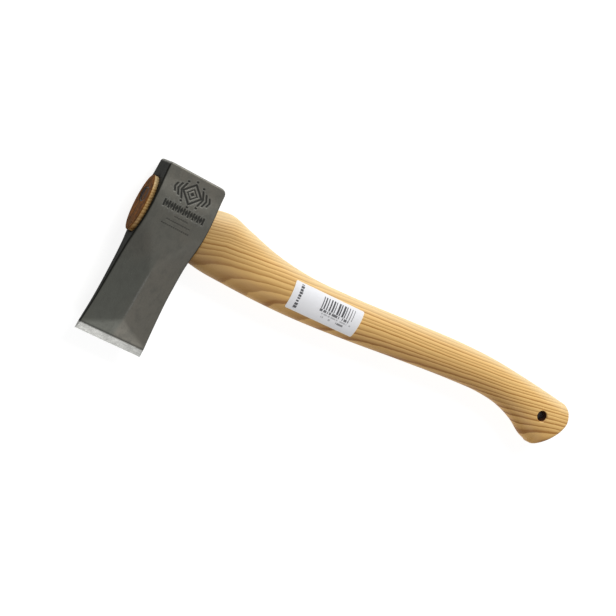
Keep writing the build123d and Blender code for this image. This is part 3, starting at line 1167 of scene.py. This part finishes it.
def add_light(name, direction, size, power, tint):
    """A soft square lamp that faces the hatchet."""
    middle = (CAD_BOX[0] + CAD_BOX[1]) / 2
    aim = Vector(direction).normalized()
    lamp = bpy.data.lights.new(name, "AREA")
    lamp.shape = "SQUARE"
    lamp.size = size
    lamp.energy = power
    lamp.color = tint
    light = bpy.data.objects.new(name, lamp)
    light.location = middle + aim * LAMP_DISTANCE
    light.rotation_euler = aim.to_track_quat("Z", "Y").to_euler()
    bpy.context.scene.collection.objects.link(light)


def add_camera(lens):
    azimuth, elevation, roll = (math.radians(turn) for turn in CAMERA_TURNS)
    back = Vector((math.sin(azimuth), -math.cos(azimuth), 0)) * math.cos(elevation)
    back.z = math.sin(elevation)
    level = Vector((math.cos(azimuth), math.sin(azimuth), 0))
    right = level * math.cos(roll) + back.cross(level) * math.sin(roll)
    turned = Matrix((right, back.cross(right), back)).transposed().to_4x4()
    camera = bpy.data.cameras.new("camera")
    camera.sensor_width = 36
    camera.lens = lens
    placed_camera = bpy.data.objects.new("camera", camera)
    placed_camera.matrix_world = Matrix.Translation(CAMERA_TARGET + back * CAMERA_DISTANCE) @ turned
    bpy.context.scene.collection.objects.link(placed_camera)
    bpy.context.scene.camera = placed_camera


def floor_finish(colour_property):
    finish = Finish("studio_floor", Roughness=0.9, Specular_IOR_Level=0.0)
    finish.wear("Base Color", rgba(colour_property))
    finish.wear("Emission Color", (1, 1, 1, 1))
    finish.wear("Emission Strength", FLOOR_GLOW)
    return finish.material


class HATCHET_OT_stage(bpy.types.Operator):
    """Sets up the pale floor, the soft lamps and the camera"""

    bl_idname = "hatchet.stage"
    bl_label = "Stage"

    def execute(self, context):
        props = context.scene.hatchet_stage
        half = props.floor_side / 2
        mesh = bpy.data.meshes.new("floor")
        corners = [(-half, -half, 0), (half, -half, 0), (half, half, 0), (-half, half, 0)]
        mesh.from_pydata(corners, [], [(0, 1, 2, 3)])
        mesh.materials.append(floor_finish(props.floor))
        floor = bpy.data.objects.new("floor", mesh)
        context.scene.collection.objects.link(floor)
        world = bpy.data.worlds.new("studio")
        world.use_nodes = True
        background = world.node_tree.nodes["Background"]
        background.inputs["Color"].default_value = (1, 1, 1, 1)
        background.inputs["Strength"].default_value = SKY_STRENGTH
        context.scene.world = world
        context.scene.view_settings.view_transform = "Standard"
        for name, lamp in LAMPS.items():
            add_light(name, *lamp)
        add_camera(props.lens)
        return {"FINISHED"}


class HATCHET_PT_build(bpy.types.Panel):
    """Lists the builders of the hatchet's pieces"""

    bl_label = "Hatchet"
    bl_idname = "HATCHET_PT_build"
    bl_space_type = "VIEW_3D"
    bl_region_type = "UI"
    bl_category = "Hatchet"

    def draw(self, context):
        for operator in OPERATORS:
            self.layout.operator(operator.bl_idname)


PROPERTIES = {
    "hatchet_head": HatchetHead,
    "hatchet_handle": HatchetHandle,
    "hatchet_wedges": HatchetWedges,
    "hatchet_label": HatchetLabel,
    "hatchet_stage": HatchetStage,
}
OPERATORS = (
    HATCHET_OT_stage,
    HATCHET_OT_axe_head,
    HATCHET_OT_handle,
    HATCHET_OT_eye_wedge,
    HATCHET_OT_ring_wedge,
    HATCHET_OT_label,
)


def register():
    for name, group in PROPERTIES.items():
        bpy.utils.register_class(group)
        setattr(bpy.types.Scene, name, PointerProperty(type=group))
    for operator in OPERATORS:
        bpy.utils.register_class(operator)
    bpy.utils.register_class(HATCHET_PT_build)


def unregister():
    bpy.utils.unregister_class(HATCHET_PT_build)
    for operator in reversed(OPERATORS):
        bpy.utils.unregister_class(operator)
    for name, group in reversed(PROPERTIES.items()):
        delattr(bpy.types.Scene, name)
        bpy.utils.unregister_class(group)


def main():
    register()
    bpy.ops.hatchet.stage()
    bpy.ops.hatchet.axe_head()
    bpy.ops.hatchet.handle()
    bpy.ops.hatchet.eye_wedge()
    bpy.ops.hatchet.ring_wedge()
    bpy.ops.hatchet.label()


if __name__ == "__main__":
    main()
